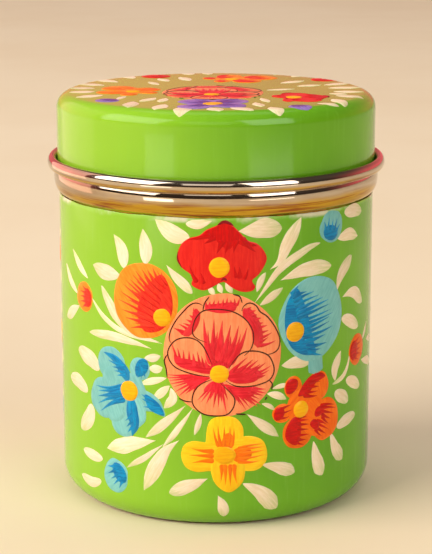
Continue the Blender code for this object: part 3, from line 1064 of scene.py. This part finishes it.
def cross_flower(wall, name="yellow_flower", petal="lemon", mark="amber"):
    """Four petals in a cross."""
    petals = Layer(wall, f"{name}_petals", petal, PETAL)
    petals.blob([(-2.2, 25), (-3, 30), (-2, 34.6), (0.4, 36.1), (3, 36.3), (6, 35.6), (8.2, 32.6), (8.2, 28),
        (6.6, 25)], centre=(2.6, 29.6), grain=pi / 2)
    petals.blob([(2, 20), (-3, 18.7), (-6.4, 18.5), (-9.4, 20), (-10.7, 23.4), (-9.8, 26.8), (-7, 28.3),
        (-3, 28), (2, 28)], centre=(-4.4, 23.4))
    petals.blob([(3, 20), (7.4, 18.8), (12.4, 18.6), (15.4, 21), (15.8, 24.6), (14.2, 28.2), (10, 29.8),
        (6, 29), (3, 28)], centre=(9.4, 24.2))
    petals.blob([(-1, 22), (-1.2, 17), (0.8, 13.6), (4, 11.9), (7.2, 13.8), (8.8, 17), (8, 22)],
        centre=(3.8, 17.6), grain=pi / 2)
    petals.done()
    marks = Layer(wall, f"{name}_marks", mark, FEATHER)
    marks.blob([(1.6, 26.4), (2.2, 30), (4, 31.2), (5.6, 29), (5, 26.2)])
    marks.fan([(0.8, 26.6), (4.6, 26.6)],
        [(-0.8, 32.6), (0.6, 33.2), (2.5, 33), (4.2, 33), (5.4, 32.4)], 1.7)
    marks.fan([(-0.6, 25.2), (-0.6, 22.2)], [(-7.5, 26), (-8.2, 23.8), (-7.2, 21.4)], 2.2)
    marks.blob([(5.4, 25.8), (9, 26.2), (11, 25), (10.6, 22.6), (8, 21.6), (5.4, 22)])
    marks.fan([(6.5, 25.8), (6.5, 22)],
        [(14.2, 27), (14.6, 26), (14.8, 24.9), (14.5, 23.4), (13.4, 21.6)], 1.8)
    marks.fan([(1.6, 21), (5.4, 21)], [(1.4, 15.2), (2.8, 14.3), (4.4, 13.9), (6.4, 14.6)], 1.9)
    marks.done()
    one_blob(wall, f"{name}_dot", "yolk", LINE, oval((2.7, 23.9), 3.5, 2.9), crown=0.08)


# Parts of a small bud, as shares of half its width and half its height.
BUD_ROOT = 0.82  # from its centre back to its root, where the dark mass is
BUD_MASS = (0.5, 0.68)
BUD_MASS_AHEAD = 0.42  # from the root to the middle of the mass
BUD_MARKS_START = 0.55  # from the root
BUD_MARKS_ROOT = 0.5  # to each side
BUD_MARKS_TIPS = 0.72
BUD_MARK_REACH = (0.45, 0.62, 0.45, 0.62, 0.45)  # past the centre, before the outer ones are cut back
BUD_MARK_CUT = 0.25


def small_bud(wall, name, petal, mark, centre, size, towards):
    """A bud with a dark mass at one side and marks drawn across it; towards is their direction."""
    wide, tall = size
    heart = Vector(centre)
    along = Vector((cos(towards), sin(towards)))
    across = Vector((-along.y, along.x))
    one_blob(wall, f"{name}_petals", petal, PETAL, oval(centre, wide, tall, 0.05), grain=towards)
    marks = Layer(wall, f"{name}_marks", mark, FEATHER)
    root = heart - along * wide * BUD_ROOT
    ring = []
    for step in range(8):
        angle = tau * step / 8
        ahead = along * (cos(angle) * BUD_MASS[0] + BUD_MASS_AHEAD) * wide
        ring.append(root + ahead + across * sin(angle) * tall * BUD_MASS[1])
    marks.blob(ring)
    tips = []
    for step, reach in enumerate(BUD_MARK_REACH):
        place = (step - 2) / 2
        reach -= BUD_MARK_CUT * abs(place)
        tips.append(heart + along * wide * reach + across * tall * place * BUD_MARKS_TIPS)
    start = root + along * wide * BUD_MARKS_START
    side = across * tall * BUD_MARKS_ROOT
    marks.fan([start - side, start + side], tips, 1.5)
    marks.done()


def small_buds(wall):
    small_bud(wall, "coral_bud", "orange", "vermilion", (-47.3, 68.3), (4.6, 4.7), pi)
    small_bud(wall, "top_blue_bud", "sky", "azure", (38.7, 91.8), (5, 5), 1.35)
    small_bud(wall, "low_blue_bud", "sky", "azure", (-33.5, 13.7), (5, 5.5), -2.5)
    small_bud(wall, "red_bud", "tangerine", "cherry", (54, 50), (5.4, 5), 0.0)


# Leaves and stems as (path, greatest width), by layer and shape.
LEAVES = {
    "drop_leaves": (leaf_shape, [
        ([(6.6, 93), (13, 93.3), (20, 93.3)], 6.2),
        ([(19.8, 77.4), (25, 79.1), (31.5, 80), (38.6, 79.6)], 4.9),
        ([(-14.9, 82.4), (-11.5, 78.5), (-7.1, 74.2)], 3.2), ([(41.5, 71), (43.5, 76), (49.2, 81)], 4.4),
        ([(0.6, 11), (2.1, 7.6), (2.4, 3.8)], 3.6), ([(-2.6, 16.4), (-8, 14), (-14.4, 11.1)], 4.5),
        ([(-20, 56.3), (-28, 57.8), (-36, 58.2), (-44.5, 57.6)], 3.1),
        ([(-50.2, 64.8), (-55, 62.3), (-60.6, 59)], 3.8),
    ]),
    "petal_leaves": (petal_shape, [
        ([(-29.3, 80.2), (-30, 85.6), (-33, 90)], 4.4), ([(-21.7, 82.2), (-21.6, 87.5), (-22.5, 92.8)], 4.4),
        ([(-7.9, 91), (-13, 92.2), (-18.4, 96)], 5.4), ([(-8.9, 95.2), (-5, 95.2), (-1.2, 96.2)], 3),
    ]),
    "lens_leaves": (lens_shape, [
        ([(-30.8, 77.6), (-36, 77.8), (-42.3, 79.2)], 5.2), ([(12.3, 74.4), (13.2, 77.2), (15, 80.2)], 2.2),
        ([(13.3, 70.3), (16.5, 72.3), (20.5, 75.1)], 2.6), ([(-2.3, 76.6), (-1.4, 75.2), (-0.3, 73.8)], 1.9),
        ([(0.6, 77.4), (1.2, 76), (1.8, 74.4)], 1.9), ([(2.8, 77.6), (3.8, 76), (4.9, 74.4)], 2.1),
        ([(41.5, 87.5), (47, 87.9), (53, 86.5)], 4.1), ([(20.4, 50.9), (25.5, 51.3), (32, 51.5)], 4.1),
        ([(41.3, 42.7), (41.4, 47), (44, 51.7)], 3.7), ([(58, 45.5), (65, 43.6), (72, 41)], 3),
        ([(63.5, 51), (68, 50.4), (72, 49)], 2.5), ([(58.5, 52), (61, 54.3), (63, 57)], 2),
        ([(17.4, 44), (20.4, 44.6), (23.2, 44.7)], 1.7), ([(15.7, 42.6), (19, 41.8), (22, 40.2)], 2.5),
        ([(14, 39.6), (16.3, 38.7), (18.3, 37.2)], 1.6), ([(-4.6, 37), (-5.3, 33.8), (-6.5, 30.2)], 1.9),
        ([(-22.3, 53), (-19.6, 53.5), (-17, 54.2)], 2.7), ([(-20.9, 50), (-18.6, 50), (-16.4, 50.7)], 2.9),
        ([(-15.2, 47.5), (-19.5, 46.3), (-23.9, 44.7)], 2.4),
        ([(-14.2, 45.2), (-16.6, 42.9), (-19.5, 40.3)], 2.8), ([(-13.8, 44.5), (-13.2, 41.3), (-16, 38)], 3),
        ([(-45.2, 74.5), (-50, 77.8), (-54.3, 82)], 2.8), ([(-51.5, 68.5), (-56.8, 71.8), (-60.6, 76.2)], 3),
    ]),
    "round_leaves": (round_shape, [
        ([(44.8, 95.2), (50, 94.9), (55.6, 93.8)], 4.4), ([(44.2, 61.9), (48.5, 60.6), (54.6, 57.3)], 4.3),
        ([(47.2, 41.6), (51.8, 39.9), (56.6, 37.4)], 4.1), ([(41.2, 38.8), (45, 37), (48.4, 34.4)], 4.5),
        ([(42.5, 27.5), (48, 28.6), (53.4, 28.8)], 4.2), ([(-40, 46.6), (-44.8, 49.2), (-51.4, 50.6)], 5.6),
        ([(-46.2, 38.2), (-51.5, 40), (-58, 40)], 5), ([(-44, 34.4), (-45.8, 29.8), (-50.4, 25)], 5.6),
        ([(-39.2, 17.8), (-44, 17.9), (-49.2, 18.4)], 3.8), ([(-40, 10.4), (-45, 8.8), (-50.6, 9.6)], 3.6),
    ]),
    "blunt_leaves": (blunt_shape, [
        ([(39.4, 26.4), (42, 20.8), (45.6, 16.2)], 4.5), ([(32.2, 25), (33.4, 19.5), (36, 13.4)], 4.8),
        ([(14.2, 20.3), (20, 18.6), (25.1, 16.4)], 4.3), ([(8.2, 14.6), (13.8, 11.4), (19.1, 5.6)], 5.4),
    ]),
    "spear_leaves": (spear_shape, [
        ([(16.4, 81), (19.7, 83.6), (22.8, 89.5), (26.6, 96)], 4.5),
        ([(9.3, 36.7), (14.5, 32.7), (19.5, 28.7)], 3.4),
        ([(-9.3, 39.3), (-15.8, 33.2), (-22.1, 28.1)], 3.1),
        ([(-7, 38.6), (-11.5, 31.8), (-16.5, 25.6)], 2.1),
        ([(-16.2, 26.6), (-22.5, 21.6), (-29, 17.2)], 2.1),
        ([(-11.3, 28.2), (-15.4, 24.6), (-18.8, 19), (-22.9, 11)], 5),
        ([(-18.8, 27.4), (-27, 25.2), (-36.9, 21.9)], 5.3),
    ]),
    "stems": (leaf_shape, [
        ([(11.7, 71.2), (15, 75.5), (18, 79.3), (20.5, 81.5), (25, 84.3), (30, 86.5), (33.8, 87.3)], 2.7),
        ([(44.5, 68.7), (49, 69.4), (53.3, 67.8), (57.5, 64.5)], 4.3),
        ([(49.7, 51), (47.8, 45.8), (45, 43), (40.2, 41.8)], 1.9),
        ([(-16.5, 58.2), (-30, 60.3), (-38, 64), (-43, 68.5)], 1.9),
        ([(-17.5, 58.6), (-25, 60), (-30, 63), (-34.5, 67.5), (-38.5, 73.3)], 3.7),
    ]),
}


def wall_leaves(wall):
    for name, (shape, leaves) in LEAVES.items():
        layer = Layer(wall, name, "cream", LEAF)
        for path, width in leaves:
            layer.stroke(path, width, shape)
        layer.done()


def wall_bouquet(wall):
    for part in (wall_leaves, red_flower, orange_bud, blue_bud, blue_flower, orange_flower,
                 cross_flower, peony, small_buds):
        part(wall)


def spray(layer, middle, turns, near, length):
    """Loose leaves that point away from the middle of a flower; turns are in degrees."""
    for turn in turns:
        away = Vector((cos(radians(turn)), sin(radians(turn))))
        start = Vector(middle) + away * near * draw.uniform(0.95, 1.1)
        reach = length * draw.uniform(0.8, 1.2)
        bend = start + away * reach / 2 + Vector((-away.y, away.x)) * draw.uniform(-0.9, 0.9)
        layer.stroke([start, bend, start + away * reach], length * draw.uniform(0.46, 0.62))


def side_sprig(wall):
    """A small flower, two buds and loose leaves, in the gap between the two bouquets."""
    cross_flower(Moved(wall, (2.7, 23.9), (0, 51), 0.44, 0.3), "side_flower")
    small_bud(wall, "high_bud", "orange", "vermilion", (1.4, 77.5), (4, 4.4), 1.3)
    small_bud(wall, "low_bud", "sky", "azure", (-1.2, 25), (4.2, 4.6), -1.9)
    leaves = Layer(wall, "leaves", "cream", LEAF)
    spray(leaves, (0, 51), (56, 80, 122, 144, 248, 286, 312), 7, 5.4)
    spray(leaves, (1.4, 77.5), (58, 94, 136, 172, 226, 300), 5.8, 5.4)
    spray(leaves, (-1.2, 25), (48, 138, 176, 218, 262, 306), 5.8, 5)
    leaves.stroke([(1.4, 63.6), (2.6, 67.5), (1.8, 71.6)], 1.9)
    leaves.stroke([(-1.4, 38.6), (-2.6, 35), (-1.6, 31)], 1.9)
    leaves.done()


for wall in (Wall("front", 0.0), Wall("back", pi)):
    wall_bouquet(wall)
for wall in (Wall("right", radians(96)), Wall("left", radians(-90))):
    side_sprig(wall)


# ---------------------------------------------------------------- the bouquet on the lid

LID_LEAF_REACH = 0.12  # how far a leaf goes on past its inner end, as a share of its length
LID_LEAF_WIDTH = 1.22  # times the width given for it

# Leaves on the lid as (inner end, outer end, greatest width). The front ones reach over the edge.
LID_LEAVES = [
    ((-25, -28), (-26, -39), 4), ((-15.5, -34), (-18, -43.5), 3.8), ((-9, -39.5), (-10.8, -48.6), 4.6),
    ((-1.5, -41), (1.2, -46.8), 4.2), ((5, -40), (11, -45.6), 4.2), ((16.4, -40), (18.9, -46.2), 4.0),
    ((12, -30), (13.5, -38), 3), ((36, -22), (39, -30), 4), ((31, -31), (37, -31.5), 3),
    ((38, -13), (45.5, -16), 4.2), ((38, -3), (46.5, -3.5), 4), ((37, 6), (46.5, 8), 4),
    ((36, 14), (44, 19), 3.8), ((22, 19), (29, 25), 3.4), ((27, 11), (34, 13.5), 3.4),
    ((26, 36), (30, 42), 3.6), ((20, 42), (21.5, 47), 3.2), ((-9, 42), (-9.5, 48), 3.8),
    ((-9, 26), (-12, 35), 3.6), ((-2.5, 43), (-3, 48), 3.2), ((-16, 24), (-19, 31), 3),
    ((-28, 32), (-32, 41), 4), ((-33, 22), (-40, 29), 4.2), ((-37, 13), (-45, 17), 4.2),
    ((-39.5, 5), (-46.5, 6), 4.2), ((-39, -3), (-46, -5), 4.2), ((-36, -12), (-43, -17), 4.4),
    ((-30, -21), (-28, -14), 2), ((-19, 15), (-22, 22), 2.6), ((17, 1), (25, 3.5), 2.6),
    ((-19, -19), (-23, -27), 3), ((36, -8), (41, -9.5), 3), ((-15.5, -20), (-17, -28), 2.6),
    ((14, -20), (16, -28), 2.4),
]


def lid_bouquet(lid):
    leaves = Layer(lid, "leaves", "cream", LEAF)
    for start, end, width in LID_LEAVES:
        inner = Vector(start).lerp(Vector(end), -LID_LEAF_REACH)
        leaves.stroke([inner, end], width * LID_LEAF_WIDTH, lens_shape)
    leaves.done()
    orange_flower(Moved(lid, (30, 35), (8, 30), 0.92, 0.9), "back_flower", "orange", "vermilion")
    orange_flower(Moved(lid, (30, 35), (-27.5, -1), 0.86, 2.6), "left_flower", "orange", "tangerine")
    red_flower(Moved(lid, (1.5, 85.5), (26.5, -16.5), 0.8, -1.2))
    cross_flower(Moved(lid, (2.8, 24), (-1, -31.5), 0.98, pi / 4), "purple_flower", "lilac", "violet")
    peony(Moved(lid, (1.9, 55.2), (-1, -5.5), 0.88, 0.1))
    small_bud(lid, "left_violet_bud", "lilac", "violet", (-33, -24), (3.8, 3.8), -2.5)
    small_bud(lid, "right_violet_bud", "lilac", "violet", (25, -37.5), (3.6, 3.4), -1.0)
    small_bud(lid, "left_red_bud", "vermilion", "cherry", (-20, 36.5), (5, 4.4), 2.0)
    small_bud(lid, "right_red_bud", "vermilion", "cherry", (36, 27.5), (5, 4.2), 0.6)


lid_bouquet(LidTop())


# ---------------------------------------------------------------- stage and light

FLOOR_SIDE = 80.0  # metres
FLOOR_COLOUR = (234, 224, 198)
FLOOR_MOTTLE = (230, 218, 190)
ROOM_FRONT = (52, 42, 36)
ROOM_BACK = (220, 102, 106)
ROOM_ABOVE = (73, 68, 62)


def add_floor():
    """A wide pale floor with a faint, slow mottle."""
    nodes = Nodes(bpy.data.materials.new("pale_floor"))
    vector = nodes.add("TexCoord").outputs["Object"]
    mottle = nodes.noise(vector, 3.0, 4.0, 0.6)
    grain = nodes.noise(vector, 900.0, 2.0, 0.5)
    tone = nodes.mix(nodes.ramp(mottle, 0.3, 0.7), FLOOR_COLOUR, FLOOR_MOTTLE)
    nodes.shade(Base_Color=tone, Roughness=0.6, Specular_IOR_Level=0.1)
    nodes.bump([(grain, 0.1, 0.1)])
    form = bmesh.new()
    bmesh.ops.create_grid(form, x_segments=40, y_segments=40, size=FLOOR_SIDE / 2)
    floor = place_mesh(form, "floor", nodes.owner)


def add_world():
    """A dim warm room: grey overhead, and rosy low down behind the canister."""
    world = bpy.data.worlds.new("Room")
    nodes = Nodes(world)
    _, y, z = nodes.split(nodes.add("TexCoord").outputs["Generated"])
    low = nodes.mix(nodes.ramp(y, -0.2, 0.8), ROOM_FRONT, ROOM_BACK)
    nodes.shade(Color=nodes.mix(nodes.ramp(z, 0.0, 0.7), low, ROOM_ABOVE), Strength=1.5)
    bpy.context.scene.world = world


CANISTER = (0.0, 0.0, 0.06)
WHITE = (1.0, 0.96, 0.93)
PANE_WHITE = (1.0, 0.98, 0.92)


def softbox(name, place, size, power, colour, aim=CANISTER, lights=True, mirrored=True):
    """A rectangular light that faces its aim, in metres and watts. The camera never sees it.

    One that is not mirrored gives light but no reflection, and one that only reflects lights nothing.
    """
    lamp = bpy.data.lights.new(name, "AREA")
    lamp.shape = "RECTANGLE"
    lamp.size, lamp.size_y = size
    lamp.energy = power
    lamp.color = colour
    light = bpy.data.objects.new(name, lamp)
    light.location = place
    facing = Vector(aim) - Vector(place)
    light.rotation_euler = facing.to_track_quat("-Z", "Y").to_euler()
    light.visible_camera = False
    light.visible_diffuse = lights
    light.visible_glossy = mirrored
    bpy.context.scene.collection.objects.link(light)


add_floor()
add_world()
# The main light, from the left. The cards and panes are what the steel and the enamel mirror.
softbox("key", (-3.51, -1.65, 2.4), (3.9, 1.65), 234.0, (1.0, 0.87, 0.76), mirrored=False)
softbox("key_card", (-1.1, -0.52, 0.76), (1.2, 1.0), 15.0, (1.0, 0.95, 0.92), lights=False)
softbox("pane_left", (-0.24, -0.31, 0.04), (0.14, 0.06), 0.05, PANE_WHITE,
        aim=(0.0, 0.0, 0.04), lights=False)
softbox("pane_right", (0.24, -0.32, 0.049), (0.22, 0.015), 0.026, PANE_WHITE,
        aim=(0.0, 0.0, 0.049), lights=False)
softbox("window", (2.49, -2.97, 2.34), (3.0, 1.5), 52.0, (1.0, 0.95, 0.88), mirrored=False)
softbox("front_card", (-0.12, -1.2, 0.74), (0.75, 0.5), 1.4, WHITE, lights=False)
softbox("window_card", (0.78, -0.94, 0.74), (0.8, 0.95), 10.0, WHITE, lights=False)
softbox("overhead", (0.0, 0.5, 1.6), (1.2, 0.8), 2.5, (1.0, 0.97, 0.92))
# The ceiling lights the floor evenly, and the glow stands for the rosy wall at the left.
softbox("ceiling", (0.0, 2.0, 7.0), (30.0, 30.0), 1100.0, (1.0, 0.96, 0.9),
        aim=(0.0, 2.0, 0.0), mirrored=False)
softbox("side_glow", (-0.36, 0.26, 0.2), (0.5, 0.4), 0.65, (1.0, 0.6, 0.52),
        aim=(0.0, 0.26, 0.1), lights=False)
bpy.context.scene.view_settings.view_transform = "Standard"
